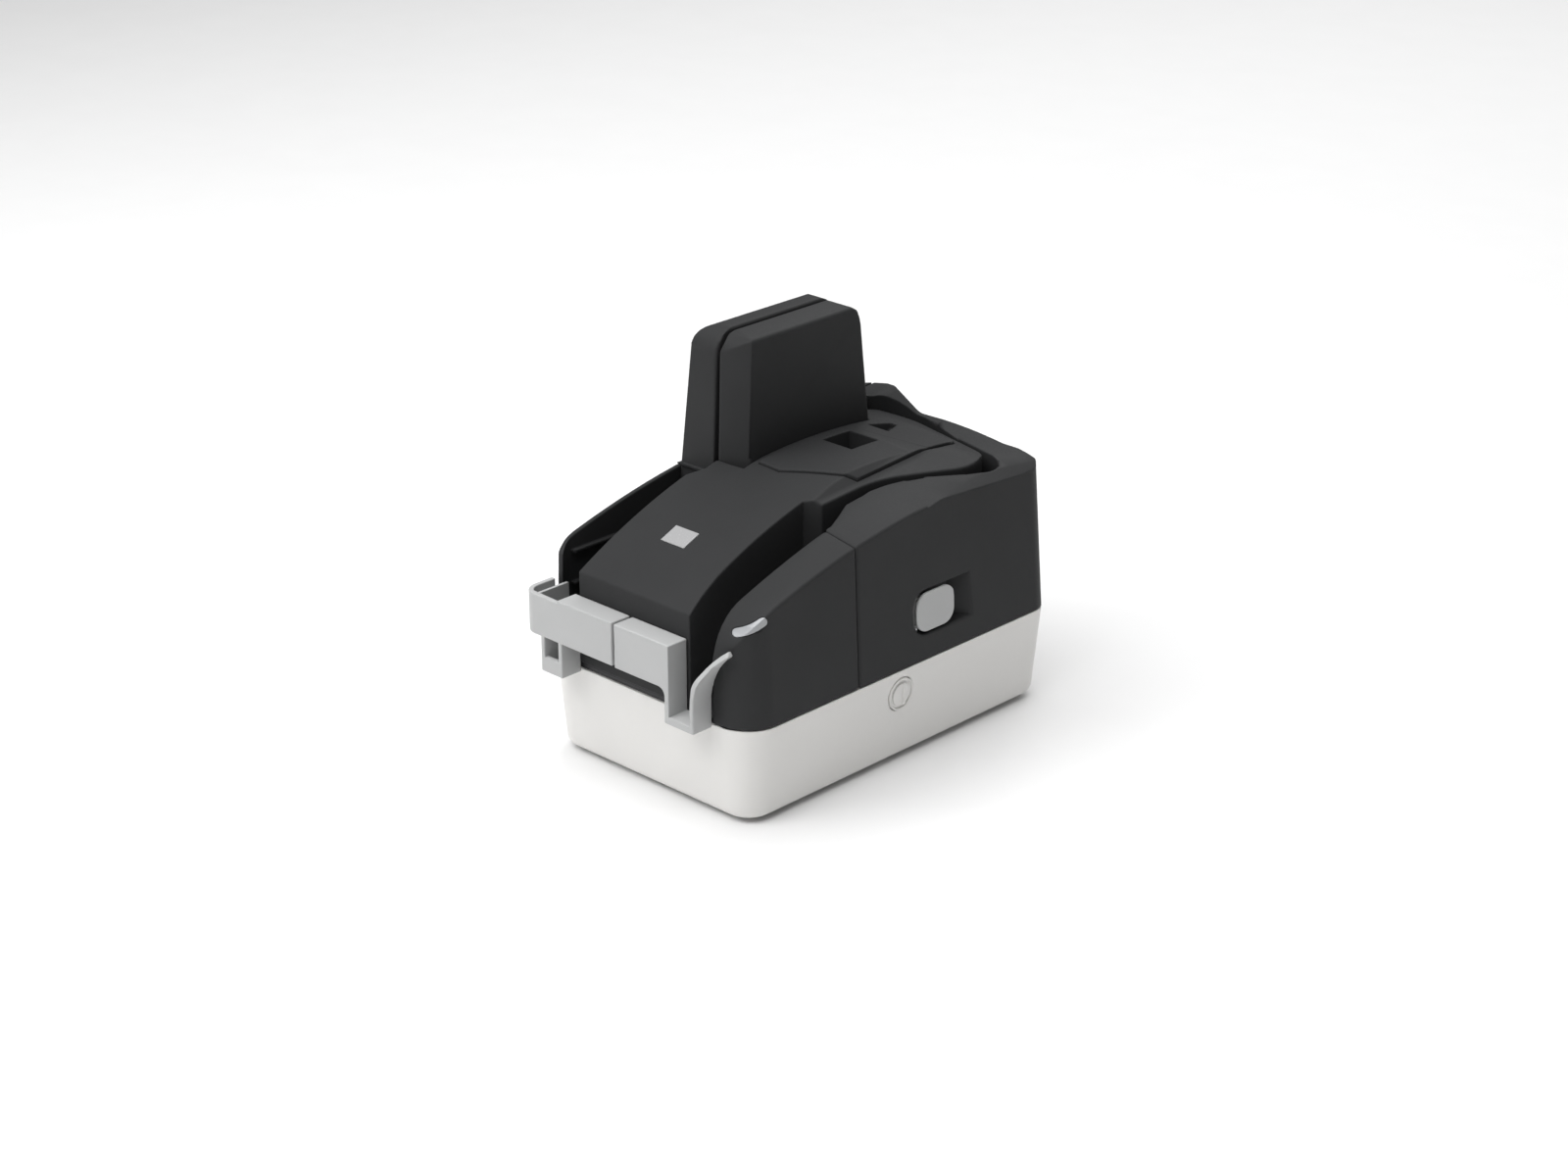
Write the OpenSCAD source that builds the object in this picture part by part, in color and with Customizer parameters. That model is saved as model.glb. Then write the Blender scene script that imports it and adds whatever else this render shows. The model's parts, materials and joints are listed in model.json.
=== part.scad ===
// Desktop cheque scanner with an upright document track and hinged covers.
// The front of the body lies on y = 0 while the pieces are drawn. The whole model
// is then moved so that the origin is the middle of the footprint, on the table.

/* [Body] */
// Width of the body at the seam between base and covers
body_w = 134; // [128:1:142]
// Depth of the body at the seam, without the front guides
body_d = 206; // [202:1:214]
// Height of the seam above the table
seam_h = 47.6; // [45:0.2:52]
// Radius of the two front corners in plan
front_r = 16.6; // [13:0.2:18]
// Radius of the two rear corners in plan
rear_r = 12; // [9:0.5:14]
// Wall of the base and of the covers
wall = 2.4; // [1.8:0.1:2.8]
// Lean of the cover sides, degrees
side_lean = 2.7; // [1.5:0.1:3.2]

/* [Base] */
// How far the foot of the base is drawn in on each side
base_inset = 4.1; // [3:0.1:5]
// Radius of the lower edge of the base
base_edge_r = 4; // [2.5:0.5:5]
// Height of the rubber feet under the base
foot_h = 2; // [1.5:0.1:3]
// Radius of a rubber foot
foot_r = 7; // [5:0.5:9]
// Distance of the feet from the edges of the base
foot_inset = 20; // [18:1:26]
// Thickness of the chassis deck
deck_t = 3; // [2.6:0.1:3.4]
// How far the deck stands above the seam
deck_rise = 2.4; // [1.8:0.1:2.8]

/* [Outer covers] */
// Depth at which the front cover ends and the side cover begins
split_y = 71; // [69:0.5:72]
// Radius of the roof line, seen from the side
roof_r = 450; // [400:10:520]
// Depth of the highest point of the roof line
roof_y = 151; // [146:1:156]
// Height of the highest point of the roof line
roof_z = 122.8; // [121:0.2:124]
// Radius of the nose above the front face
nose_r = 26.5; // [22:0.5:28]
// How far the roof rises from the sides of the body inwards
roof_crown = 3; // [1:0.2:3.4]
// Height of the crown along the rear edge
rear_z = 125.5; // [124.5:0.2:126.5]
// Height of the raised rear corner beside the tower
bump_z = 135.2; // [133:0.1:137]
// Slope of the strip behind the track, rising to the rear, degrees
rear_tilt = 12; // [4:1:14]
// Depth at which the left cover begins
left_front_y = 7.5; // [6:0.5:10]

/* [Document track] */
// Width of the track between its two walls
gap = 3; // [2.8:0.1:3.4]
// Width of the feed pocket
pocket_w = 14; // [13:0.5:15]
// Width of the right cover beside the feed pocket
feed_cover_w = 22; // [21:0.5:23]
// Distance of the tower slot from the left side of the body
slot_in = 29.5; // [29:0.1:30]
// Width of the feed pocket at its rear end
pocket_rear_w = 19; // [17:0.5:20]
// Depth at which the feed pocket starts to narrow into the track
funnel_y = 77; // [75:0.5:77.5]
// Length of that funnel along the body
funnel_l = 5; // [4.5:0.5:7]
// Depth at which the track starts to bend to the right
bend_y = 105; // [103:1:107]
// Radius of that bend
bend_r = 60; // [54:1:66]
// Radius of the track round the right rear corner
corner_r = 12; // [11:0.5:13]
// Distance of that corner's centre from the right side
corner_in = 22.1; // [21.8:0.1:22.6]
// Distance of that corner's centre from the rear
corner_back = 37; // [36:0.5:38]
// How much rounder the island is than the track at that corner
corner_ease = 10; // [0:0.5:11]
// Radius of the turn into the tower
turn_r = 23.6; // [23:0.2:24.2]
// Distance of that turn's centre from the rear
turn_back = 31.7; // [31.2:0.1:32.4]

/* [Centre island] */
// Height of the front edge of the island
island_z = 95.4; // [93:0.2:98]
// Radius of the sloping front of the island
slope_r = 300; // [290:5:310]
// Depth of the highest point of that arc, if it went on
slope_y = 147.7; // [145:0.5:150]
// Height of the top of the island
island_top = 131.3; // [130.5:0.1:132]
// Radius of the top of the island, seen from the side
island_r = 356; // [320:5:400]
// Depth of the highest point of the island
island_y = 128; // [124:1:132]
// Height of the island's edge along the track, behind the funnel
shoulder_front_z = 124.2; // [123:0.1:125.4]
// Height of that edge near the right rear corner
shoulder_side_z = 126.5; // [125.5:0.1:127.2]
// Height of that edge along the rear
shoulder_rear_z = 123.9; // [123:0.1:124.8]
// Wall of the island and of the tower
thin_wall = 2; // [1.6:0.1:2.4]
// Height of the cartridge cover above the island
lid_rise = 1.2; // [0.8:0.1:1.6]
// Width of the ledge that carries the cartridge cover
lid_ledge = 4; // [3:0.5:4.5]
// Thickness of the cartridge cover
lid_t = 2.2; // [1.9:0.1:2.6]
// Side of the square finger wells in the cartridge cover
well_w = 18.5; // [16:0.5:19]
// Depth of the finger wells
well_h = 12; // [10:0.5:14]
// Slope of the floors of the wells, degrees
well_a = 22; // [10:1:26]
// How far the cartridge cover lifts
lid_lift = 30; // [20:1:35]

/* [Tower] */
// Height of the top of the tower above the table
tower_z = 188.2; // [184:0.1:192]
// Depth at which the tower begins beside its slot
tower_y = 84.2; // [84:0.1:85]
// Distance from the tower's back to the rear of the machine
tower_back_in = 35.8; // [35.6:0.1:37.8]
// Width of the right half of the tower at its foot
tower_right_w = 16.4; // [15.8:0.1:16.9]
// Width of the slot in the tower
slot_w = 3; // [2.8:0.1:3.4]
// Radius of the tower's top along the slot
slot_edge_r = 1.7; // [1:0.1:2.2]
// How far the left half of the tower stands back from the right half
left_step = 0.7; // [0.4:0.1:1.6]
// Lean of the tower's front, degrees
tower_lean = 2.3; // [1:0.1:4]
// Angle by which the right half's front turns away, degrees
tower_turn = 20; // [10:1:24]
// Lean of the tower's back, degrees
tower_back_lean = 5.4; // [3:0.1:7]
// Lean of the tower's right side, degrees
tower_side_lean = 1.4; // [1:0.1:2.5]
// Lean of the tower's left side, degrees
tower_left_lean = 4.8; // [3:0.1:5.5]
// Radius of the tower's top at the front
tower_front_r = 13; // [9:0.5:14]
// Radius of the tower's top along its left side
tower_left_r = 8; // [4:0.5:8]
// Radius of the tower's top at the back
tower_back_r = 12; // [9:0.5:14]
// Radius of the crown across the top of the tower
tower_crown_r = 85; // [75:1:120]
// Width of an image sensor across the slot
sensor_w = 9; // [8:0.5:9.5]
// Size of an image sensor along the track
sensor_d = 16; // [13:0.5:18]
// Length of the glass in front of a sensor
glass_h = 112; // [100:1:114]
// Thickness of the glass
glass_t = 1.4; // [1:0.1:1.8]

/* [Front guides] */
// How far the guides stand out in front of the body
guide_d = 12; // [10:0.5:14]
// Height of the lower edge of the band
band_lo = 63; // [61:0.5:65]
// Height of the upper edge of the band
band_hi = 84; // [80:0.5:88]
// Wall of the guides
guide_wall = 2.5; // [2:0.1:2.8]
// Place of the parting groove between the two guides
groove_x = -5.9; // [-12:0.1:0]
// Width of the parting groove
groove_w = 1.5; // [1:0.1:2]
// Radius of the loop at the left end
loop_r = 8.5; // [6:0.5:10]
// Depth to which the loop reaches back along the left side
loop_back = 7; // [4:0.5:7.2]
// Height of the floor in the feed guide
feed_floor = 49.8; // [48:0.2:50]
// Thickness of the floors of the guides
guide_floor = 3.8; // [3:0.1:4]
// Width of the channel in the exit guide
exit_w = 9; // [8:0.5:9.5]
// Height of the lip in front of the exit channel
exit_lip = 53.5; // [52:0.5:55]
// Radius of the bend of the horn
horn_r = 33; // [28:1:40]
// Height of the tip of the horn
horn_z = 84.6; // [80:0.2:88]

/* [Rollers and drive] */
// Radius of a driven roller
roller_r = 7.5; // [7.2:0.1:7.6]
// Height of a roller
roller_h = 20; // [16:1:22]
// Height of the lower end of the rollers above the deck
roller_up = 6; // [4:0.5:8]
// Radius of a roller shaft
shaft_r = 3; // [2.5:0.1:3.2]
// Radius of a pinch roller
pinch_r = 6; // [5:0.1:6.2]
// Radius of the pinch roller beside the tower
small_pinch_r = 4; // [3.4:0.1:4.1]
// Radius of a pinch roller axle
axle_r = 1.5; // [1.2:0.1:1.7]
// Radius of a belt pulley
pulley_r = 7.5; // [7:0.1:8]
// Width of a belt
belt_w = 5; // [4:0.5:6]
// Thickness of a belt
belt_t = 1.2; // [1:0.1:1.5]
// Radius of the motor
motor_r = 17; // [15:0.5:18]
// Height of the motor
motor_h = 24; // [20:1:25]

/* [Hinges, latch and controls] */
// Radius of a hinge pin
pin_r = 2.5; // [2:0.1:2.8]
// Radius of the side cover's hinge knuckle
side_knuckle_r = 9; // [8.4:0.1:9.4]
// Radius of the left cover's hinge knuckle
left_knuckle_r = 8; // [7.6:0.1:8.4]
// Distance of the side cover's hinge from the left side
side_pin_in = 29; // [28.5:0.1:29.5]
// Distance of the left cover's hinge from the rear
left_pin_back = 22; // [21.5:0.1:22.5]
// How far the side cover opens, degrees
side_open = 60; // [40:1:65]
// How far the left cover opens, degrees
left_open = 40; // [30:1:45]
// Depth of the middle of the latch
latch_y = 123; // [120:0.5:125]
// Height of the middle of the latch
latch_z = 71; // [69:0.5:74]
// Length of the latch
latch_l = 25.5; // [23:0.5:28]
// Height of the latch
latch_h = 19; // [16:0.5:21]
// Depth of the middle of the power button
button_y = 100; // [96:0.5:102]
// Height of the middle of the power button
button_z = 35.5; // [34:0.5:37]
// Radius of the power button
button_r = 8; // [6:0.5:8.5]

/* [Fits] */
// Running clearance of pins and shafts in their bores
run_fit = 0.05; // [0.03:0.01:0.1]
// Clearance of a piece that is seated and doesn't move
seat_fit = 0.02; // [0.01:0.01:0.05]
// Clearance between pieces that move past each other
slide_fit = 0.3; // [0.25:0.05:0.5]
// Gap left for the document between a roller and its pinch roller
nip = 0.3; // [0.25:0.05:0.5]

/* [Hidden] */
$fn = 48;

charcoal = [0.22, 0.22, 0.23];
pale = [0.88, 0.88, 0.87];
grey = [0.72, 0.73, 0.73];
steel = [0.75, 0.76, 0.78];
rubber = [0.15, 0.15, 0.15];

// Levels
deck_top = seam_h + deck_rise;
deck_bottom = deck_top - deck_t;
cover_z = seam_h + slide_fit;
inner_z = deck_top + slide_fit;
base_floor = foot_h + wall;
high = tower_z + 20;

// Places across the body
right_x = body_w / 2;
pocket_x = right_x - feed_cover_w;
island_x = pocket_x - pocket_w;
feed_x = island_x + 2 + gap / 2;
slot_x = slot_in - right_x;
island_left = slot_x - 3;
flare_y = [68, 75.5];
throat_x = slot_x + gap / 2 + 0.1;
tower_right_x = slot_x + slot_w / 2 + tower_right_w;
tower_back = body_d - tower_back_in;

// Centres of the three arcs of the track
bend_c = [feed_x + bend_r, bend_y];
corner_c = [right_x - corner_in, body_d - corner_back];
turn_c = [slot_x + turn_r, body_d - turn_back];

// Directions of the two straight runs that join the arcs
to_bend = bend_c - corner_c;
splay_a = -(atan2(to_bend[1], to_bend[0]) + acos((bend_r + corner_r) / norm(to_bend)));
to_corner = corner_c - turn_c;
rear_a = atan2(to_corner[1], to_corner[0]) + acos((turn_r - corner_r) / norm(to_corner));

// Hinge pins
side_pin = [side_pin_in - right_x, body_d - side_knuckle_r];
left_pin = [left_knuckle_r - right_x, body_d - left_pin_back];
side_clear_r = side_knuckle_r / cos(side_open / 2) + slide_fit;
left_clear_r = left_knuckle_r / cos(left_open / 2) + slide_fit;

function dir(a) = [cos(a), sin(a)];

// Points of an arc about c from angle a to angle b
function arc(c, r, a, b, n = 10) = [for (i = [0:n]) c + r * dir(a + (b - a) * i / n)];

// The corner at q between p and s, rounded to radius r
function fillet(p, q, s, r, n) =
    let (u = (p - q) / norm(p - q), v = (s - q) / norm(s - q))
    let (half = acos(u * v) / 2)
    let (c = q + (u + v) / norm(u + v) * r / sin(half))
    let (f = q + u * r / tan(half) - c, g = q + v * r / tan(half) - c)
    let (a = atan2(f[1], f[0]), b = atan2(g[1], g[0]))
    let (turn = b - a > 180 ? b - a - 360 : b - a < -180 ? b - a + 360 : b - a)
    [for (i = [0:n]) c + r * dir(a + turn * i / n)];

// An outline whose corners are given as [x, y, radius]
function rounded(pts, n = 6) = [for (i = [0:len(pts) - 1])
    let (k = len(pts), p = pts[(i + k - 1) % k], q = pts[i], s = pts[(i + 1) % k])
    let (at = [q[0], q[1]])
    each q[2] == 0 ? [at] : fillet([p[0], p[1]], at, [s[0], s[1]], q[2], n)];

// Prisms along the three axes, from outlines given in the other two
module prism_x(x0, x1, pts) {
    translate([x0, 0, 0]) rotate([90, 0, 90]) linear_extrude(x1 - x0) polygon(pts);
}
module prism_y(y0, y1, pts) {
    translate([0, y1, 0]) rotate([90, 0, 0]) linear_extrude(y1 - y0) polygon(pts);
}
module prism_z(z0, z1, pts) {
    translate([0, 0, z0]) linear_extrude(z1 - z0) polygon(pts);
}
module block(lo, hi) {
    translate(lo) cube(hi - lo);
}
module rod(at, r, z0, z1) {
    translate([at[0], at[1], z0]) cylinder(h = z1 - z0, r = r);
}

// Moves the drawn model so that its footprint is centred on the origin
module placed() {
    translate([0, (guide_d - body_d) / 2, 0]) children();
}

// Plan of the covers, drawn in by i at the sides and rear and by f at the front
function plan(i, f) = rounded([
    [i - right_x, f, front_r - f],
    [right_x - i, f, front_r - f],
    [right_x - i, body_d - i, rear_r],
    [i - right_x, body_d - i, rear_r]
], 8);
function lean(z) = (z - seam_h) * tan(side_lean);

// The space inside the leaning sides of the covers, drawn in by d
module envelope(d = 0) {
    hull() {
        for (z = [seam_h - 5, high]) prism_z(z, z + 0.01, plan(d + lean(z), max(d, 0)));
    }
}

// Heights of the roof line and of the top of the island
function roof(y) = roof_z - roof_r + sqrt(pow(roof_r, 2) - pow(y - roof_y, 2));
slope_c = island_z - sqrt(pow(slope_r, 2) - pow(slope_y, 2));
function slope(y) = slope_c + sqrt(pow(slope_r, 2) - pow(min(y, slope_y) - slope_y, 2));
function island_crown(y) = island_top - island_r + sqrt(pow(island_r, 2) - pow(y - island_y, 2));
function island_height(y) = min(slope(y), island_crown(y));

// Side view of the outer covers, drawn in by d
nose_y = 20;
nose_slope = (roof_y - nose_y) / (roof(nose_y) - roof_z + roof_r);
function roof_rise(y) = max(0, min(1, (y - nose_y) / 50));
function side_profile(d = 0, rise = 0) = concat(
    [[d, seam_h - 8]],
    fillet([d, seam_h], [d, roof(nose_y) - nose_slope * (nose_y - d) - d],
        [nose_y, roof(nose_y) - d], nose_r - d, 8),
    [for (y = [nose_y:9:body_d + 12]) [y, roof(y) + rise * roof_rise(y) - d]],
    [[body_d + 12, seam_h - 8]]
);
// The crowned roof: level in the middle, falling towards the right side
shoulder_a = 10;
module roof_solid(d = 0) {
    intersection() {
        prism_x(-right_x - 5, right_x + 5, side_profile(d, roof_crown));
        translate([right_x - 3, 0, roof_z]) rotate([0, shoulder_a, 0]) translate([0, 0, -roof_z])
            prism_x(-2 * right_x, 20, side_profile(d));
    }
}
// What the softened edge takes off the roof along the right side, more towards the rear
module roof_edge(d) {
    above([right_x - 3.5, 140, roof(140) - 1 - d], [-0.7, -0.06]);
}

// Rear view of the strip behind the track, with the raised corner, drawn in by d
bump_right = -33;
bump_left = -right_x - 5;
bump_foot = -15;
bump_fall = 0.2;
function rear_crown(x) = rear_z - 0.0018 * x * x;
module rear_solid(d) {
    intersection() {
        translate([0, body_d - 4, rear_z]) rotate([rear_tilt, 0, 0]) translate([0, 0, -rear_z])
            prism_y(-70, 30, rear_profile(d));
        block([bump_left, 0, 0], [right_x + 8, body_d + 30, side_knuckle_top - d]);
    }
}
function rear_profile(d = 0) = concat(
    [[bump_left, seam_h - 8], [bump_left, bump_z + bump_fall * (bump_left - bump_right) - d]],
    fillet([bump_left, bump_z + bump_fall * (bump_left - bump_right) - d], [bump_right, bump_z - d],
        [bump_foot, rear_crown(bump_foot) - d], 10, 4),
    fillet([bump_right, bump_z - d], [bump_foot, rear_crown(bump_foot) - d],
        [0, rear_crown(0) - d], 9, 4),
    [for (x = [0:8:right_x + 8]) [x, rear_crown(x) - d]],
    [[right_x + 8, seam_h - 8]]
);

// The track's centre line moved outwards by off, from the feed pocket to the tower
function track(off, ease = 0) = concat(
    [[feed_x + off, split_y - 6]],
    arc(bend_c, bend_r - off, 180, 180 - splay_a),
    arc(corner_c - ease / cos((rear_a + splay_a) / 2) * dir((rear_a - splay_a) / 2),
        corner_r + ease + off, -splay_a, rear_a),
    arc(turn_c, turn_r + off, rear_a, 180),
    [[slot_x - off, tower_y - 4]]
);

// Outline of the island, drawn in by d
pocket_in = pocket_rear_w - pocket_w;
function island_outline(d = 0) = concat(
    [[island_left + d, d], [island_x - d, d]],
    [for (q = [[0.48, 10], [0.8, 22], [0.92, 45], [1, funnel_y - 2]]) [island_x - pocket_in * q[0] - d, q[1]]],
    [[island_x - pocket_in - d, funnel_y + d * 0.5]],
    [[feed_x - gap / 2 - d, funnel_y + funnel_l + d * 0.5]],
    [for (p = track(-gap / 2 - d, corner_ease)) if (p[1] > bend_y - 9 || p[0] < 0) p],
    [[throat_x + d, flare_y[1] - d * 0.3], [island_left + d, flare_y[0] - d * 0.3]]
);

// Where the outer covers keep clear of the track and of the feed pocket, grown by d
function track_side(d = 0) = concat(
    [[pocket_x + d, -5], [pocket_x + d, split_y + 4], [feed_x + gap / 2 + d, bend_y - 11]],
    [for (p = track(gap / 2 + d)) if (p[1] > bend_y - 9) p],
    [[slot_x - gap / 2 - d, -5]]
);

// Path points and inward directions at the places of the rollers
run_s = 18;
run_point = bend_c - (bend_r) * dir(-splay_a) + run_s * [sin(splay_a), cos(splay_a)];
rear_s = 28;
rear_point = corner_c + corner_r * dir(rear_a) + rear_s * [-sin(rear_a), cos(rear_a)];
tower_a = 166;
pick_at = [island_x - pocket_in + 1 - roller_r, 50];
feed_at = [feed_x - nip / 2 - roller_r, funnel_y + 14];
run_at = run_point - (roller_r + nip / 2) * dir(-splay_a);
rear_at = rear_point - (roller_r + nip / 2) * dir(rear_a);
tower_at = turn_c + (turn_r - nip / 2 - roller_r) * dir(tower_a);
exit_at = [slot_x + nip / 2 + roller_r, tower_y - roller_r - 1];
retard_at = [feed_x + nip / 2 + pinch_r, feed_at[1]];
run_pinch_at = run_point + (pinch_r + nip / 2) * dir(-splay_a);
rear_pinch_at = rear_point + (pinch_r + nip / 2) * dir(rear_a);
tower_pinch_at = turn_c + (turn_r + nip / 2 + small_pinch_r) * dir(tower_a);
exit_pinch_at = [slot_x - nip / 2 - pinch_r, exit_at[1]];
motor_at = [-9, 58];
driven = [pick_at, feed_at, run_at, rear_at, tower_at, exit_at];
belt_path = [motor_at, feed_at, run_at, rear_at, tower_at, exit_at];

// Levels of the drive
roller_z = deck_top + roller_up;
belt_top = deck_bottom - 3.5;
belt_z = belt_top - belt_w;
pick_belt_z = belt_z - belt_w - 3;
plate_z = roller_z + roller_h + 6;
plate_t = 2.5;
shaft_top = plate_z + plate_t + 2;
bush_r = shaft_r + 2;

// Windows through which the rollers reach into the track
module roller_windows(points, r) {
    for (p = points) rod(p, r + 1, roller_z - 2, roller_z + roller_h + 2);
}

// Base

function base_in(z) = base_inset * (seam_h - z) / (seam_h - foot_h);
function base_plan(i) = rounded([
    [i - right_x, i, front_r - min(i, 6)],
    [right_x - i, i, front_r - min(i, 6)],
    [right_x - i, body_d - i, rear_r - min(i, 4)],
    [i - right_x, body_d - i, rear_r - min(i, 4)]
], 8);
module base_outer() {
    hull() {
        prism_z(seam_h - 0.01, seam_h, base_plan(0));
        for (a = [0:30:90]) {
            z = foot_h + base_edge_r * (1 - sin(a));
            prism_z(z, z + 0.01, base_plan(base_in(z) + base_edge_r * (1 - cos(a))));
        }
    }
}
module base_inner() {
    hull() {
        prism_z(seam_h + 1, seam_h + 1.01, base_plan(wall));
        prism_z(base_floor, base_floor + 0.01, base_plan(base_in(base_floor) + wall + 1));
    }
}

screw_places = [for (s = [-1, 1]) for (y = [15, 118, body_d - 15]) [s * (right_x - 12), y]];
screw_r = 1.5;
screw_head_r = 2.8;
screw_head_h = 1.8;
boss_r = 4;
foot_places = [for (s = [-1, 1]) for (y = [foot_inset, body_d - foot_inset])
    [s * (right_x - foot_inset), y]];
foot_seat = 1;

// The power button stands square to the leaning side of the base
base_lean = atan(base_inset / (seam_h - foot_h));
button_x = right_x - base_in(button_z);
button_t = 4;
button_proud = 0.6;
button_ring_out = 0.9;
button_ring_in = 2.3;
button_ring_d = 0.9;
button_bar = [11.2, 1.9, 1.5];
button_bar_at = 0.4;
button_travel = 1.2;
module on_base_side() {
    translate([button_x, button_y, button_z]) rotate([0, 90 + base_lean, 0]) children();
}

// Sockets in the rear wall
board_z = base_floor + 4;
board_t = 1.6;
board_post_x = 40;
board_post_r = 3;
board_lo = [-50, 112];
board_hi = [50, body_d - 18];
usb_x = -14;
usb_size = [12, 14, 11];
power_x = -38;
power_size = [10, 14, 11];
socket_z = board_z + board_t;
socket_y = body_d - base_in(socket_z + 5) - 1;
socket_fit = 0.25;

module base_tub() {
    color(pale) difference() {
        union() {
            difference() {
                base_outer();
                base_inner();
            }
            for (p = screw_places) rod(p, boss_r, base_floor - 0.5, deck_bottom);
            for (x = [-board_post_x, board_post_x]) for (y = [board_lo[1] + 8, board_hi[1] - 8])
                rod([x, y], board_post_r, base_floor - 0.5, board_z);
        }
        for (p = screw_places) rod(p, screw_r - 0.2, deck_bottom - 12, deck_bottom + 1);
        for (p = foot_places) rod(p, foot_r + seat_fit, foot_h - 1, foot_h + foot_seat);
        on_base_side() translate([0, 0, -8]) cylinder(h = 16, r = button_r + slide_fit);
        block([usb_x - usb_size[0] / 2 - socket_fit, body_d - 10, socket_z - socket_fit],
            [usb_x + usb_size[0] / 2 + socket_fit, body_d + 5, socket_z + usb_size[2] + socket_fit]);
        block([power_x - power_size[0] / 2 - socket_fit, body_d - 10, socket_z - socket_fit],
            [power_x + power_size[0] / 2 + socket_fit, body_d + 5, socket_z + power_size[2] + socket_fit]);
        for (x = [-36:9:36]) block([x, 60, foot_h - 1], [x + 3, 100, base_floor + 1]);
    }
}

module rubber_feet() {
    color(rubber) for (p = foot_places) rod(p, foot_r, 0, foot_h + foot_seat);
}

module deck_screws() {
    color(steel) for (p = screw_places) {
        rod(p, screw_r - 0.25, deck_top - screw_head_h - 9, deck_top - screw_head_h + 0.1);
        rod(p, screw_head_r, deck_top - screw_head_h, deck_top - 0.2);
    }
}

module power_button() {
    color(pale) difference() {
        union() {
            on_base_side() translate([0, 0, -button_t]) cylinder(h = button_t + button_proud, r = button_r);
            on_base_side() translate([0, 0, -button_t - 3]) cylinder(h = 4, r = 3);
            on_base_side() translate([-button_bar[0] / 2, button_bar_at, 0]) cube(button_bar);
        }
        on_base_side() translate([0, 0, button_proud - button_ring_d]) difference() {
            cylinder(h = 2, r = button_r - button_ring_out);
            translate([0, 0, -1]) cylinder(h = 4, r = button_r - button_ring_in);
        }
    }
}

module usb_socket() {
    color(steel) difference() {
        block([usb_x - usb_size[0] / 2, socket_y - usb_size[1], socket_z],
            [usb_x + usb_size[0] / 2, socket_y, socket_z + usb_size[2]]);
        block([usb_x - usb_size[0] / 2 + 1, socket_y - 9, socket_z + 1],
            [usb_x + usb_size[0] / 2 - 1, socket_y + 1, socket_z + usb_size[2] - 1]);
    }
}

module power_socket() {
    color(rubber) {
        difference() {
            block([power_x - power_size[0] / 2, socket_y - power_size[1], socket_z],
                [power_x + power_size[0] / 2, socket_y, socket_z + power_size[2]]);
            translate([power_x, socket_y + 1, socket_z + power_size[2] / 2]) rotate([90, 0, 0]) difference() {
                cylinder(h = 10, r = 3.6);
                translate([0, 0, -1]) cylinder(h = 12, r = 1);
            }
        }
    }
}

module main_board() {
    color([0.1, 0.35, 0.2]) {
        block([board_lo[0], board_lo[1], board_z], [board_hi[0], board_hi[1], board_z + board_t]);
        // Three chips, a connector and two round capacitors
        block([-12, board_hi[1] - 58, board_z + 1], [12, board_hi[1] - 34, board_z + board_t + 2]);
        block([-38, board_hi[1] - 54, board_z + 1], [-24, board_hi[1] - 42, board_z + board_t + 1.5]);
        block([24, board_hi[1] - 60, board_z + 1], [34, board_hi[1] - 40, board_z + board_t + 1.5]);
        block([20, board_hi[1] - 18, board_z + 1], [44, board_hi[1] - 10, board_z + board_t + 7]);
        for (x = [-30, -21]) rod([x, board_hi[1] - 24], 4, board_z + 1, board_z + board_t + 9);
    }
}

// Chassis

deck_inset = wall + 0.8;
module chassis_deck() {
    color(charcoal) difference() {
        union() {
            prism_z(deck_bottom, seam_h + 0.2, plan(deck_inset, wall + 0.4));
            prism_z(seam_h + 0.1, deck_top, plan(deck_inset, 1));
            for (p = [side_pin, left_pin]) rod(p, pin_r + 1.5, deck_bottom - 6, deck_bottom + 0.5);
        }
        for (p = driven) rod(p, bush_r + seat_fit, deck_bottom - 1, deck_top + 1);
        rod(motor_at, 5, deck_bottom - 1, deck_top + 1);
        for (p = screw_places) {
            rod(p, screw_r + 0.2, deck_bottom - 1, deck_top + 1);
            rod(p, screw_head_r + 0.2, deck_top - screw_head_h, deck_top + 1);
        }
        for (p = [side_pin, left_pin]) rod(p, pin_r + seat_fit, deck_bottom - 7, deck_top + 1);
        for (p = motor_ears) rod(p, 1.6, deck_bottom - 1, deck_top + 1);
    }
}

holder_lo = [island_x - 23, 108];
holder_hi = [island_x - 1.8, 132];
post_r = 4;
post_places = [
    [-8, 80], [holder_lo[0] - post_r - 1, 110], [0, body_d - 38], [-12, body_d - 16], [slot_x + 9.5, 58]
];
module shaft_plate() {
    color(steel) difference() {
        union() {
            intersection() {
                prism_z(plate_z, plate_z + plate_t, island_outline(thin_wall + 1));
                block([-right_x, 42, plate_z - 1], [right_x, body_d, plate_z + plate_t + 1]);
            }
            for (p = post_places) rod(p, post_r, deck_top, plate_z + 0.5);
        }
        block([slot_x - 5, tower_y - 1.2, plate_z - 1],
            [tower_right_x + 1.2, tower_back + 1.2, plate_z + plate_t + 1]);
        block([holder_lo[0] - 1, holder_lo[1] - 1, plate_z - 1],
            [holder_hi[0] + 5, holder_hi[1] + 1, plate_z + plate_t + 1]);
        for (p = driven) rod(p, bush_r + seat_fit, plate_z - 1, plate_z + plate_t + 1);
    }
}

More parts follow.
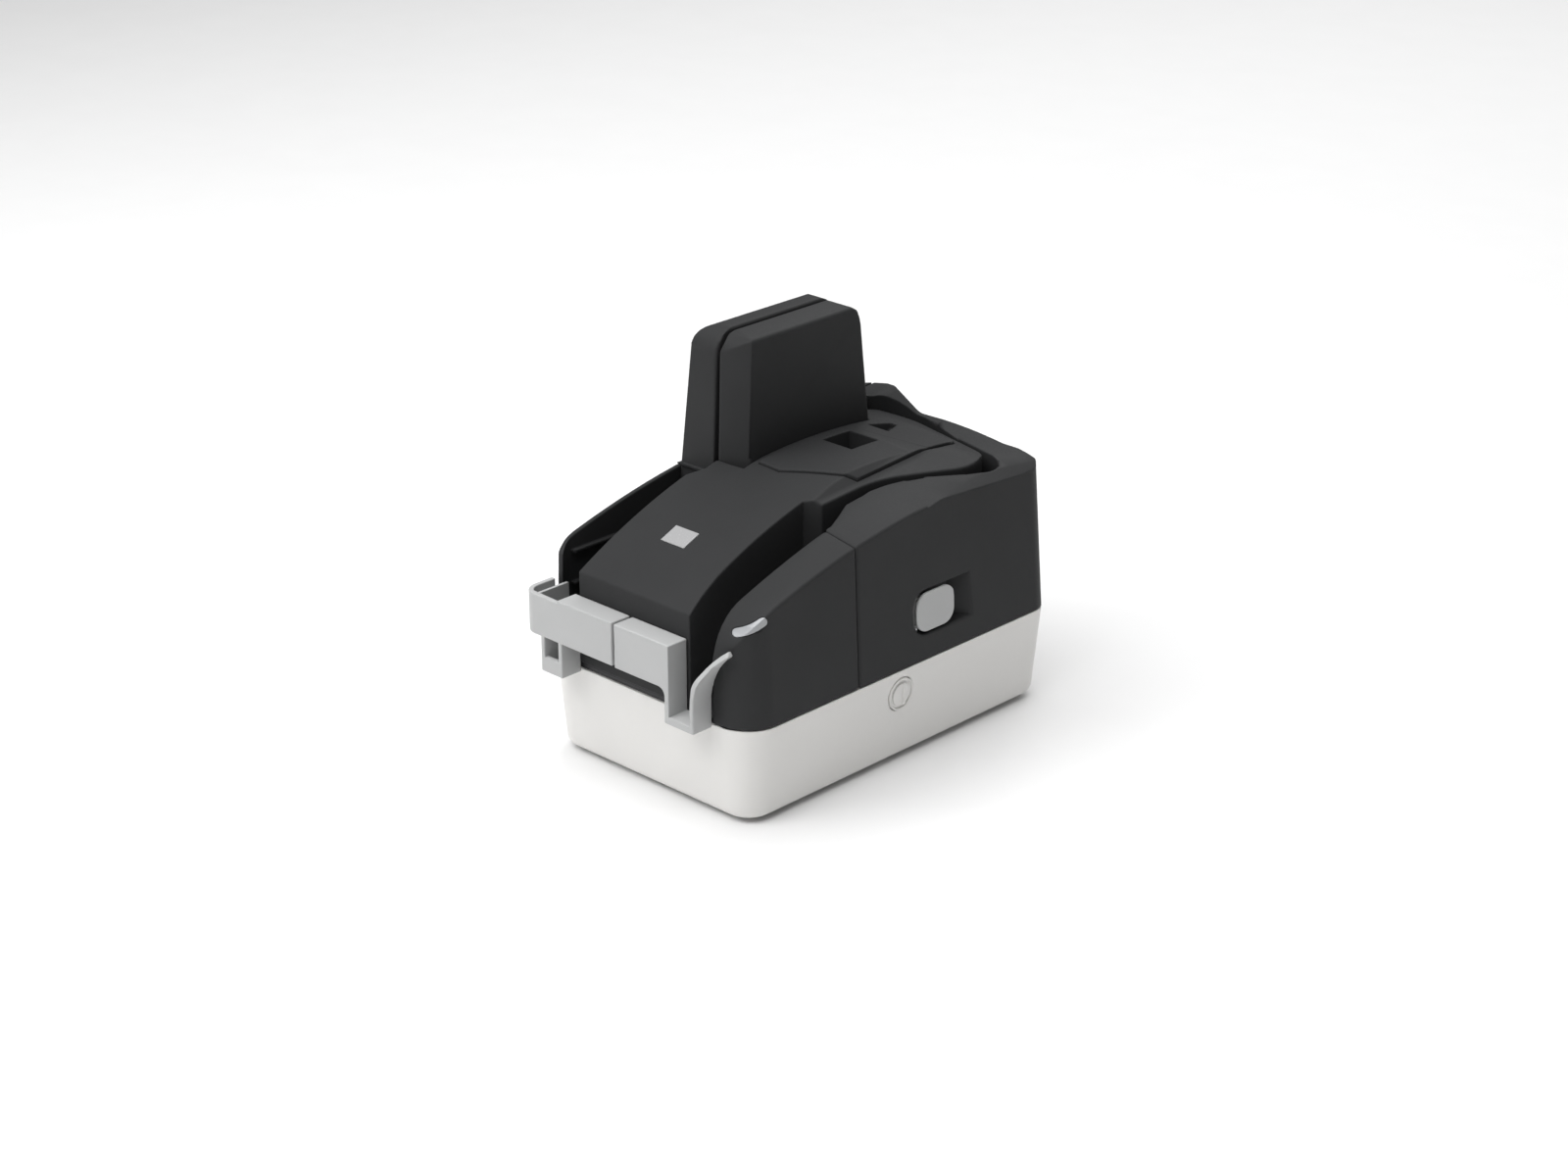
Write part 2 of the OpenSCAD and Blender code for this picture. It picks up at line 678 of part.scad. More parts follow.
module shaft_bushes() {
    color([0.75, 0.6, 0.3]) for (p = driven) {
        difference() {
            union() {
                rod(p, bush_r, deck_bottom, deck_top);
                rod(p, bush_r, plate_z, plate_z + plate_t);
            }
            rod(p, shaft_r + run_fit, deck_bottom - 1, shaft_top + 1);
        }
    }
}

// A moulded shaft with its belt pulley, and one more pulley below on request
module shaft(p, low = false) {
    bottom = low ? pick_belt_z - 1 : belt_z - 1;
    color([0.9, 0.9, 0.85]) {
        rod(p, shaft_r, bottom, shaft_top);
        if (p != pick_at) rod(p, pulley_r, belt_z, belt_z + belt_w);
        if (low) rod(p, pulley_r, pick_belt_z, pick_belt_z + belt_w);
    }
}
module roller(p) {
    color(rubber) difference() {
        rod(p, roller_r, roller_z, roller_z + roller_h);
        rod(p, shaft_r + seat_fit, roller_z - 1, roller_z + roller_h + 1);
    }
}
module pinch(p, r) {
    color(rubber) difference() {
        rod(p, r, roller_z + 1, roller_z + roller_h - 1);
        rod(p, axle_r + run_fit, roller_z, roller_z + roller_h);
    }
}
axle_lo = roller_z - 3;
axle_hi = roller_z + roller_h + 3;
module axle(p) {
    color(steel) rod(p, axle_r, axle_lo, axle_hi);
}
// Two arms that carry a pinch roller's axle, joined to a cover
module axle_arms(p, to, w) {
    run = to - p;
    for (z = [axle_lo, axle_hi - 2.2]) {
        rod(p, w, z, z + 2.2);
        translate([p[0], p[1], z]) rotate([0, 0, atan2(run[1], run[0])])
            block([0, 0.3 - w, 0], [norm(run), w - 0.3, 2.2]);
    }
}

module pickup_shaft() { shaft(pick_at, true); }
module pickup_roller() { roller(pick_at); }
module feed_shaft() { shaft(feed_at, true); }
module feed_roller() { roller(feed_at); }
module run_shaft() { shaft(run_at); }
module run_roller() { roller(run_at); }
module rear_shaft() { shaft(rear_at); }
module rear_roller() { roller(rear_at); }
module tower_shaft() { shaft(tower_at); }
module tower_roller() { roller(tower_at); }
module exit_shaft() { shaft(exit_at); }
module exit_roller() { roller(exit_at); }

module belt(points, z) {
    color(rubber) translate([0, 0, z]) linear_extrude(belt_w) difference() {
        hull() for (p = points) translate(p) circle(pulley_r + slide_fit + belt_t);
        hull() for (p = points) translate(p) circle(pulley_r + slide_fit);
    }
}
module drive_belt() { belt(belt_path, belt_z); }
module pickup_belt() { belt([pick_at, feed_at], pick_belt_z); }

motor_top = belt_z - 2.5;
ear_r = 3.5;
motor_ears = [for (s = [-1, 1]) motor_at + [0, s * (motor_r + 1.5)]];
module motor() {
    color(steel) difference() {
        union() {
            rod(motor_at, motor_r, motor_top - motor_h, motor_top);
            block([motor_at[0] - ear_r, motor_ears[0][1], motor_top - 2],
                [motor_at[0] + ear_r, motor_ears[1][1], motor_top]);
            for (p = motor_ears) {
                rod(p, ear_r, motor_top - 2, motor_top);
                rod(p, 2.5, motor_top - 1, deck_bottom);
            }
        }
        rod(motor_at, 2 + run_fit, motor_top - 6, motor_top + 1);
    }
}
module motor_pulley() {
    color(steel) {
        rod(motor_at, 2, motor_top - 5, belt_z + belt_w + 1);
        rod(motor_at, pulley_r, belt_z, belt_z + belt_w);
    }
}

// Outer covers

light_turn = 44;
light_tilt = 23;
light_at = [right_x - 5.7, 6.6, 95.4];
light_c = [-8.65, 22.9];
light_r = 24;
light_w = 4.1;
light_from = -82.8;
light_to = -53.4;
light_depth = [-11, 5];
// One rounded end of the light's outline, from angle a on
function light_end(at, r, a) = [for (i = [1:5]) at + r * dir(a + 30 * i)];
// The short curved strip that holds the status light, square to the view from the front right
module light_strip(grow) {
    r = light_w / 2 + grow;
    translate(light_at) rotate([90 - light_tilt, 0, light_turn]) translate([0, 0, light_depth[0]])
        linear_extrude(light_depth[1] - light_depth[0]) polygon(concat(
            arc(light_c, light_r + r, light_from, light_to, 8),
            light_end(light_c + light_r * dir(light_to), r, light_to),
            arc(light_c, light_r - r, light_to, light_from, 8),
            light_end(light_c + light_r * dir(light_from), r, light_from + 180)
        ));
}
module cover_skin(d) {
    intersection() {
        envelope(d);
        roof_solid(d);
    }
}
module left_skin(d) {
    intersection() {
        envelope(d);
        prism_x(-right_x - 5, 0, side_profile(d));
    }
}

plate_hinge_r = 1.5;
plate_hinge = [pocket_x - plate_hinge_r - slide_fit, 14];
plate_lo = deck_top + 5;
plate_hi = plate_lo + 30;
plate_len = 42;
lug_h = 3;
module front_right_cover() {
    color(charcoal) difference() {
        union() {
            intersection() {
                difference() {
                    cover_skin(0);
                    intersection() {
                        cover_skin(wall);
                        block([pocket_x + thin_wall, 0, 0], [right_x, split_y - wall, high]);
                    }
                }
                block([pocket_x, 0, cover_z], [right_x + 5, split_y - 0.15, high]);
            }
            for (z = [plate_lo - lug_h - 0.2, plate_hi + 0.2])
                block([plate_hinge[0] - plate_hinge_r - 0.6, plate_hinge[1] - 2.2, z],
                    [pocket_x + 1, plate_hinge[1] + 2.2, z + lug_h]);
        }
        prism_z(0, inner_z, plan(deck_inset - slide_fit, 0.7));
        light_strip(0.1);
        rod(plate_hinge, 1 + run_fit, deck_top, plate_hi + lug_h - 0.6);
    }
}

module status_light() {
    color([0.85, 0.87, 0.9]) intersection() {
        light_strip(0);
        difference() {
            cover_skin(-0.3);
            cover_skin(wall - 0.2);
        }
    }
}

module pressure_plate() {
    color(grey) {
        block([plate_hinge[0] - 0.7, plate_hinge[1], plate_lo],
            [plate_hinge[0] + 0.7, plate_hinge[1] + plate_len, plate_hi]);
        rod(plate_hinge, plate_hinge_r, plate_lo, plate_hi);
        rod(plate_hinge, 1, plate_lo - 2.4, plate_hi + 2.2);
    }
}

// The latch sits in an opening of the side cover, with a recess behind it for a fingertip
latch_x = right_x - lean(latch_z);
recess_d = 8;
recess_back = 12;
recess_fit = 1.2;
recess_front = 1.9;
latch_corner_r = 7;
latch_pin = [latch_x - 4.4, latch_y - latch_l / 2 + 3.6];
latch_pin_r = 1.2;
latch_pin_l = latch_h + 6;
latch_boss_r = 2.6;
latch_boss_h = latch_h - 3.6;
latch_web_h = 12;
function latch_face(g, front) = rounded([
    [latch_y - latch_l / 2 - front, latch_z - latch_h / 2 - g, latch_corner_r + g],
    [latch_y + latch_l / 2 + g, latch_z - latch_h / 2 - g, latch_corner_r + g],
    [latch_y + latch_l / 2 + g, latch_z + latch_h / 2 + g, latch_corner_r + g],
    [latch_y - latch_l / 2 - front, latch_z + latch_h / 2 + g, latch_corner_r + g]
]);

// The opening and the recess, whose rear wall slopes out to the skin, grown by d
module side_recess(d) {
    intersection() {
        union() {
            prism_x(latch_x - recess_d - d, right_x + 5, latch_face(recess_fit + d, recess_front + d));
            prism_z(latch_z - latch_h / 2 - recess_fit - d, latch_z + latch_h / 2 + recess_fit + d, [
                [right_x + 5, latch_y + latch_l / 2 - latch_corner_r - d],
                [latch_x - recess_d - d, latch_y + latch_l / 2 - latch_corner_r - d],
                [latch_x - recess_d - d, latch_y + latch_l / 2 + 3 + d],
                [right_x + 5, latch_y + latch_l / 2 + recess_back + 7 + d]
            ]);
        }
        envelope(d - 1);
    }
}

// The side cover ends at its hinge, on the line from the pin to the middle of the track's turn
side_cut = atan2(turn_c[1] - side_pin[1], turn_c[0] - side_pin[0]);
// The plan of the side cover, drawn in by d
module side_region(d) {
    difference() {
        prism_z(0, high, [
            side_pin + d * dir(side_cut + 90), side_pin + d * dir(side_cut + 90) + 60 * dir(side_cut),
            [feed_x, split_y + 0.15 + d], [right_x + 5, split_y + 0.15 + d],
            [right_x + 5, body_d + 5], [side_pin[0] + d, body_d + 5]]);
        prism_z(-1, high + 1, track_side(d));
    }
}
module side_solid(d) {
    intersection() {
        union() {
            roof_solid(d);
            rear_solid(d);
        }
        envelope(d);
        side_region(d);
        difference() {
            block([-right_x - 5, 0, 0], [right_x + 5, body_d + 5, high]);
            roof_edge(d);
        }
    }
}
side_knuckle_top = bump_z - 0.6;
pin_cap = 4.4;
module side_cover() {
    color(charcoal) difference() {
        union() {
            difference() {
                side_solid(0);
                side_solid(wall);
            }
            intersection() {
                side_recess(wall);
                side_solid(0);
            }
            intersection() {
                rod(side_pin, side_knuckle_r, inner_z + 0.3, side_knuckle_top);
                envelope();
                rear_solid(0);
            }
            axle_arms(retard_at, [retard_at[0] + 16, retard_at[1] + 2], 3);
            axle_arms(run_pinch_at, run_pinch_at + 9 * dir(-splay_a), 3);
            axle_arms(rear_pinch_at, rear_pinch_at + 4 * dir(rear_a), 3);
        }
        block([-right_x, 0, 0], [right_x + 5, body_d + 5, cover_z]);
        prism_z(-1, high, track_side());
        prism_z(0, inner_z, plan(deck_inset - slide_fit, 0.7));
        rod(side_pin, side_clear_r + 1, 0, inner_z);
        rod(side_pin, pin_r + run_fit, 0, side_knuckle_top - pin_cap + 0.5);
        side_recess(0);
        roller_windows([retard_at, run_pinch_at, rear_pinch_at], pinch_r - 0.4);
        for (p = [retard_at, run_pinch_at, rear_pinch_at])
            rod(p, axle_r + seat_fit, axle_lo - 0.5, axle_hi + 0.5);
        rod(latch_pin, latch_pin_r + seat_fit,
            latch_z - latch_pin_l / 2 - 0.5, latch_z + latch_pin_l / 2 + 0.5);
    }
}

module side_hinge_pin() {
    color(steel) rod(side_pin, pin_r, deck_bottom - 5, side_knuckle_top - pin_cap);
}
module left_hinge_pin() {
    color(steel) rod(left_pin, pin_r, deck_bottom - 5, left_knuckle_top - pin_cap);
}

latch_t = 2.6;
latch_rim_t = 1.1;
latch_rim_w = 2.4;
module side_latch() {
    color(grey) difference() {
        union() {
            intersection() {
                prism_x(latch_x - latch_rim_t, latch_x + 3, latch_face(0, 0));
                envelope(-0.3);
            }
            prism_x(latch_x - latch_t, latch_x - latch_rim_t + 0.2, latch_face(-latch_rim_w, -latch_rim_w));
            rod(latch_pin, latch_boss_r, latch_z - latch_boss_h / 2, latch_z + latch_boss_h / 2);
            block([latch_pin[0] - 0.2, latch_pin[1] - 2, latch_z - latch_web_h / 2],
                [latch_x - 1, latch_pin[1] + latch_boss_r, latch_z + latch_web_h / 2]);
        }
        rod(latch_pin, latch_pin_r + run_fit, 0, high);
    }
}
module side_latch_pin() {
    color(steel) rod(latch_pin, latch_pin_r, latch_z - latch_pin_l / 2, latch_z + latch_pin_l / 2);
}

module retard_roller() { pinch(retard_at, pinch_r); }
module run_pinch_roller() { pinch(run_pinch_at, pinch_r); }
module rear_pinch_roller() { pinch(rear_pinch_at, pinch_r); }
module side_pinch_axles() {
    for (p = [retard_at, run_pinch_at, rear_pinch_at]) axle(p);
}

left_knuckle_top = roof(body_d - left_pin_back) - 0.6;
module left_cover() {
    color(charcoal) difference() {
        union() {
            intersection() {
                difference() {
                    left_skin(0);
                    envelope(wall);
                }
                block([-right_x - 5, left_front_y, 0], [slot_x - 12, left_pin[1], high]);
            }
            intersection() {
                rod(left_pin, left_knuckle_r, inner_z + 0.3, left_knuckle_top);
                envelope();
            }
            for (z = [78, 94]) intersection() {
                block([-right_x, left_front_y + 8, z], [wall - right_x + lean(z) + 2.4, tower_y - 4, z + 1.2]);
                envelope(1);
            }
            intersection() {
                axle_arms(exit_pinch_at, [wall - right_x + 3, exit_pinch_at[1]], 3);
                envelope(1);
            }
        }
        block([-right_x - 5, -5, 0], [right_x, body_d + 5, cover_z]);
        prism_z(0, inner_z, plan(deck_inset - slide_fit, 0.7));
        rod(left_pin, left_clear_r + 1, 0, inner_z);
        rod(left_pin, pin_r + run_fit, 0, left_knuckle_top - pin_cap + 0.5);
        rod(exit_pinch_at, axle_r + seat_fit, axle_lo - 0.5, axle_hi + 0.5);
    }
}
module exit_pinch_roller() { pinch(exit_pinch_at, pinch_r); }
module exit_pinch_axle() { axle(exit_pinch_at); }

// The fixed corner between the two hinges
module corner_region(d) {
    difference() {
        prism_z(0, high, [
            [-right_x - 5, tower_back + 1 + d], [side_pin[0] + 6, tower_back + 1 + d],
            side_pin + [6, 0], side_pin, [side_pin[0], body_d + 5], [-right_x - 5, body_d + 5]]);
        prism_z(-1, high + 1, track_side(d));
        rod(side_pin, side_clear_r + d, -1, high + 1);
        rod(left_pin, left_clear_r + d, -1, high + 1);
        block([-right_x - 6, 0, -1], [left_pin[0] + d, left_pin[1] + d, high + 1]);
    }
}
module rear_corner() {
    color(charcoal) difference() {
        union() {
            intersection() {
                difference() {
                    intersection() {
                        envelope();
                        corner_region(0);
                    }
                    intersection() {
                        envelope(wall);
                        corner_region(thin_wall);
                        block([-right_x, 0, 0], [right_x, body_d, bump_z - wall]);
                    }
                }
                rear_solid(0);
            }
            axle_arms(tower_pinch_at, tower_pinch_at + [-5, 4], 2.6);
        }
        block([-right_x - 5, 0, 0], [right_x, body_d + 5, cover_z]);
        prism_z(0, inner_z, plan(deck_inset - slide_fit, 0.7));
        prism_z(-1, high, track_side());
        roller_windows([tower_pinch_at], small_pinch_r - 0.4);
        rod(tower_pinch_at, axle_r + seat_fit, axle_lo - 0.5, axle_hi + 0.5);
        rod(left_pin, left_clear_r, 0, high);
        rod(side_pin, side_clear_r, 0, high);
    }
}
module tower_pinch_roller() { pinch(tower_pinch_at, small_pinch_r); }
module tower_pinch_axle() { axle(tower_pinch_at); }

// Centre island

lid_left = tower_right_x + 3.7;
lid_front = tower_y + 6.8;
lid_rear = body_d - 27;
lid_right = island_x - 0.7;
function lid_outline(d = 0) = [
    [lid_left + d, lid_front + d],
    [lid_left + 14, lid_front - 1 + d],
    [lid_left + 31, lid_front + 7.4 + d],
    [lid_right - 4 - d, lid_front + 12.5 + d],
    [lid_right - d, lid_front + 17 + d],
    [lid_right - d, lid_rear - 6 - d],
    [lid_right - 3.4 - d, lid_rear - d],
    [lid_left + d, lid_rear - d]
];
function island_profile(d = 0) = concat(
    [[d, deck_top], [d, island_z - d]],
    [for (y = [6:6:body_d]) [y, island_height(y) - d]],
    [[body_d, deck_top]]
);
// Everything above a plane through a point, with its rise per millimetre in x and in y
module above(at, rise) {
    translate(at) rotate([asin(rise[1] / norm([rise[0], rise[1], 1])), -atan(rise[0]), 0])
        block([-100, -100, 0], [100, 100, 60]);
}
// The island's top, drawn in by d, with its right shoulder and its rear edge falling to the track
module island_top_solid(d, out = 0) {
    difference() {
        prism_x(-right_x - out, right_x + out, island_profile(d));
        intersection() {
            above([feed_x - gap / 2, funnel_y + 10, shoulder_front_z - d], [-0.8, 0.065]);
            above([corner_c[0], corner_c[1] - 26, shoulder_side_z - d], [-0.17, 0.066]);
        }
        translate([rear_point[0], rear_point[1], shoulder_rear_z - d]) rotate([0, 0, rear_a - 90])
            above([0, -gap / 2, 0], [0.045, -0.33]);
    }
}
module island_solid(d) {
    intersection() {
        prism_z(deck_top + 0.1, high, island_outline(d));
        island_top_solid(d);
    }
}
module lid_space(top, bottom, outline) {
    // The slab between two heights measured from the island's curved top
    intersection() {
        prism_z(deck_top, high, outline);
        difference() {
            island_top_solid(-top);
            island_top_solid(-bottom, 1);
        }
    }
}

label_at = [-8.5, 33];
label_size = [15, 11, 0.8];
label_a = atan(island_height(label_at[1] + 0.5) - island_height(label_at[1] - 0.5));
module on_slope() {
    translate([label_at[0], label_at[1], island_height(label_at[1])]) rotate([label_a, 0, 0]) children();
}

module island_cover() {
    color(charcoal) difference() {
        island_solid(0);
        island_solid(thin_wall);
        block([-right_x, 0, 0], [right_x, body_d, inner_z - 0.1]);
        block([slot_x - 5, tower_y - 0.2, 0], [tower_right_x + 0.2, tower_back + 0.2, high]);
        lid_space(5, lid_rise - lid_t, lid_outline(-0.2));
        prism_z(deck_top + 40, high, lid_outline(lid_ledge));
        roller_windows(driven, roller_r);
        for (p = driven) rod(p, bush_r + slide_fit, plate_z - 0.5, plate_z + plate_t + 0.5);
        wells(well_t + slide_fit);
        // Windows for the ink cartridge and for the magnetic head
        block([holder_hi[0] - 1, holder_lo[1] + 4, deck_top + 4],
            [holder_hi[0] + 8, holder_hi[1] - 4, deck_top + 22]);
        block([head_at[0] - 1, head_at[1] - 3.2, head_z - 0.2],
            [head_at[0] + 8, head_at[1] + 3.2, head_z + head_h + 0.2]);
        on_slope() translate([-label_size[0] / 2, -label_size[1] / 2, -0.5]) cube(label_size + [0, 0, 3]);
    }
}

module label_plate() {
    color([0.93, 0.93, 0.93]) on_slope() translate([0.1 - label_size[0] / 2, 0.1 - label_size[1] / 2, -0.5])
        cube(label_size - [0.2, 0.2, 0]);
}

well_t = 1.4;
well_x = lid_left + 5.9;
grip_y = lid_rear - 19;
well_y = grip_y - 32.5;
// The two finger wells, the front one deep at its rear and the other deep at its front, grown by g
module wells(g) {
    difference() {
        prism_z(island_top - well_h - g, high, [
            [well_x - g, well_y - g], [well_x + well_w + g, well_y - g],
            [well_x + well_w + g, well_y + well_w + g], [well_x - g, well_y + well_w + g]]);
        translate([0, well_y + well_w, island_top - well_h - g]) rotate([-well_a, 0, 0])
            block([-right_x, -60, -40], [right_x, 60, 0]);
    }
    difference() {
        prism_z(island_top - well_h - g, high, [
            [well_x - 1.5 - g, grip_y - g], [well_x + 12 + g, grip_y - g],
            [well_x + 7 + g, grip_y + 11.5 + g], [well_x + 3 - g, grip_y + 11.5 + g]]);
        translate([0, grip_y, island_top - well_h - g]) rotate([well_a + 12, 0, 0])
            block([-right_x, -60, -40], [right_x, 60, 0]);
    }
}
module cartridge_cover() {
    color(charcoal) difference() {
        union() {
            lid_space(lid_rise, lid_rise - lid_t, lid_outline(0.2));
            intersection() {
                wells(well_t);
                island_top_solid(0);
            }
        }
        wells(0);
    }
}

head_h = 13;
head_z = deck_top + 5;
head_at = [feed_x - gap / 2 - 5, 101.5];
module magnetic_head() {
    color(steel) {
        block([head_at[0], head_at[1] - 3, head_z], [head_at[0] + 5.2, head_at[1] + 3, head_z + head_h]);
        block([head_at[0] - 4, head_at[1] - 3, deck_top], [head_at[0] + 0.5, head_at[1] + 3, head_z + head_h]);
    }
}

holder_wall = 1.6;
cart_z = deck_top + 3;
cart_h = 50;
module cartridge_holder() {
    color(rubber) difference() {
        block([holder_lo[0], holder_lo[1], deck_top], [holder_hi[0], holder_hi[1], cart_z + 30]);
        block([holder_lo[0] + holder_wall, holder_lo[1] + holder_wall, cart_z],
            [holder_hi[0] + 1, holder_hi[1] - holder_wall, high]);
    }
}
module ink_cartridge() {
    color([0.2, 0.25, 0.4]) {
        block([holder_lo[0] + holder_wall + 0.2, holder_lo[1] + holder_wall + 0.2, cart_z + 0.1],
            [holder_hi[0] - 0.4, holder_hi[1] - holder_wall - 0.2, cart_z + cart_h]);
        block([holder_hi[0] - 1, holder_lo[1] + 6, deck_top + 6],
            [holder_hi[0] + 1.4, holder_hi[1] - 6, deck_top + 20]);
    }
}

// Tower

foot_z = 130;
function tower_side(d = 0) =
    let (up = tower_z - foot_z)
    rounded([
        [tower_y + d, inner_z, 0],
        [tower_y + d, foot_z, 0],
        [tower_y + up * tan(tower_lean) + d, tower_z - d, tower_front_r - d],
        [tower_back - up * tan(tower_back_lean) - d, tower_z - d, tower_back_r - d],
        [tower_back - d, foot_z, 0],
        [tower_back - d, inner_z, 0]
    ], 6);
// Heights of the crown across the top, falling away on both sides of the slot
function crown(x) = tower_z - tower_crown_r + sqrt(pow(tower_crown_r, 2) - pow(x - slot_x, 2));
function right_half(d = 0) =
    let (up = tower_z - foot_z, in = slot_x + slot_w / 2 + d)
    let (top = tower_right_x - up * tan(tower_side_lean) - d)
    rounded([
        [in, inner_z, 0], [in, crown(in) - d, slot_edge_r], [(in + top) / 2, crown((in + top) / 2) - d, 0],
        [top, crown(top) - d, 2.2], [tower_right_x - d, foot_z, 0], [tower_right_x - d, inner_z, 0]
    ]);
left_foot_z = seam_h + 72;
tower_left_x = lean(left_foot_z) - right_x + 3;
function left_half(d = 0) =
    let (up = tower_z - left_foot_z, in = slot_x - slot_w / 2 - d)
    let (top = tower_left_x + up * tan(tower_left_lean) + d)
    rounded([
        [in, inner_z, 0], [in, crown(in) - d, slot_edge_r], [(in + top) / 2, crown((in + top) / 2) - d, 0],
        [top, crown(top) - d, tower_left_r - d], [tower_left_x + d, left_foot_z, 0],
        [-right_x - 2, left_foot_z - 3, 0], [-right_x - 2, inner_z, 0]
    ]);
// Everything in front of the right half's turned front
module turned_front(d) {
    translate([slot_x + slot_w / 2, tower_y + d, foot_z]) rotate([0, 0, tower_turn]) rotate([-tower_lean, 0, 0])
        block([-10, -30, -100], [60, 0, 80]);
}
glass_y = (tower_y + tower_back) / 2 + 1;
glass_lo = deck_top + 2;
sensor_lo = deck_top + 1;
sensor_h = glass_h + 4;
module tower_right_shell() {
    color(charcoal) difference() {
        intersection() {
            prism_x(-right_x, right_x, tower_side());
            prism_y(tower_y - 5, tower_back + 5, right_half());
        }
        turned_front(0);
        difference() {
            intersection() {
                prism_x(-right_x, right_x,
                    concat([[tower_y + thin_wall, 0]], tower_side(thin_wall), [[tower_back - thin_wall, 0]]));
                prism_y(tower_y - 5, tower_back + 5, concat([[slot_x + slot_w / 2 + thin_wall, 0]],
                    right_half(thin_wall), [[tower_right_x - thin_wall, 0]]));
            }
            turned_front(thin_wall / cos(tower_turn));
        }
        block([slot_x, glass_y - sensor_d / 2 + 2, glass_lo],
            [slot_x + 8, glass_y + sensor_d / 2 - 2, glass_lo + glass_h]);
    }
}
module tower_left_shell() {
    color(charcoal) difference() {
        intersection() {
            union() {
                translate([0, left_step, 0]) intersection() {
                    prism_x(-right_x - 5, right_x, tower_side());
                    block([-right_x - 5, 0, 0], [right_x, tower_back - left_step, high]);
                }
                block([tower_left_x, tower_y, left_foot_z - 1.5], [slot_x, tower_y + 5, left_foot_z]);
            }
            prism_y(tower_y - 5, tower_back + 5, left_half());
            envelope();
        }
        intersection() {
            prism_x(-right_x - 5, right_x, concat([[tower_y + left_step + thin_wall, 0]],
                [for (p = tower_side(thin_wall)) [p[0] + (p[0] < glass_y ? left_step : 0), p[1]]],
                [[tower_back - thin_wall, 0]]));
            prism_y(tower_y - 5, tower_back + 5, concat([[slot_x - slot_w / 2 - thin_wall, 0]],
                left_half(thin_wall), [[-right_x - 2, 0]]));
            envelope(wall + thin_wall);
        }
        difference() {
            prism_x(-right_x - 5, 0, side_profile(-0.2));
            envelope(wall + 0.15);
        }
        block([slot_x - 8, glass_y - sensor_d / 2 + 2, glass_lo],
            [slot_x, glass_y + sensor_d / 2 - 2, glass_lo + glass_h]);
    }
}
// One image sensor, on the side of the slot given by s
module sensor(s) {
    near = slot_x + s * (slot_w / 2 + thin_wall + 0.1);
    far = near + s * sensor_w;
    color([0.3, 0.32, 0.35]) block([min(near, far), glass_y - sensor_d / 2, sensor_lo],
        [max(near, far), glass_y + sensor_d / 2, sensor_lo + sensor_h]);
}
module glass(s) {
    near = slot_x + s * (slot_w / 2 + 0.2);
    far = near + s * glass_t;
    color([0.7, 0.85, 0.85]) block([min(near, far), glass_y - sensor_d / 2 + 2.1, glass_lo + 0.1],
        [max(near, far), glass_y + sensor_d / 2 - 2.1, glass_lo + glass_h - 0.1]);
}
module right_sensor() { sensor(1); }
module left_sensor() { sensor(-1); }
module right_glass() { glass(1); }
module left_glass() { glass(-1); }

// Front guides

leg_x = island_x - 1.5;
leg_left = leg_x - guide_wall;
back_gap = 0.2;
// The band of a guide between two x, with its front, top and back walls
module band(x0, x1) {
    difference() {
        block([x0, -guide_d, band_lo], [x1, -back_gap, band_hi]);
        block([x0 + guide_wall, guide_wall - guide_d, band_lo - 1],
            [x1 - guide_wall, -back_gap - guide_wall, band_hi - guide_wall]);
    }
}
horn_left = pocket_x - 2.8;
horn_t = 2.5;
horn_start = 58;
horn_turn = asin((horn_z - horn_start) / horn_r);
function horn_section() = concat(
    [[horn_left, feed_floor - guide_floor], [horn_left + horn_t, feed_floor - guide_floor]],
    [for (p = arc([horn_left + horn_t + horn_r, horn_start], horn_r, 180, 180 - horn_turn, 8)) p],
    [for (p = arc([horn_left + horn_t + horn_r, horn_start], horn_r + horn_t, 180 - horn_turn, 180, 8)) p]
);
function horn_side() = rounded([
    [-guide_d, feed_floor - guide_floor - 1, 0],
    [-guide_d, horn_z - 14, 9],
    [-1, horn_z + 4, 0],
    [-back_gap, horn_z + 4, 0],
    [-back_gap, feed_floor - guide_floor - 1, 0]
]);
module feed_guide() {
    color(grey) {
        band(groove_x + groove_w / 2, leg_x);
        block([leg_left, -guide_d, feed_floor - guide_floor], [leg_x, -back_gap, band_hi - 1]);
        block([leg_left, -guide_d, feed_floor - guide_floor], [horn_left + horn_t, -back_gap, feed_floor]);
        difference() {
            block([leg_left - 4, -guide_d, band_lo - 4], [leg_left + 0.5, guide_wall - guide_d, band_lo + 1]);
            translate([leg_left - 4, 0, band_lo - 4]) rotate([90, 0, 0]) cylinder(h = guide_d + 1, r = 4);
        }
        intersection() {
            prism_y(-guide_d - 1, 0, horn_section());
            prism_x(0, right_x, horn_side());
        }
    }
}

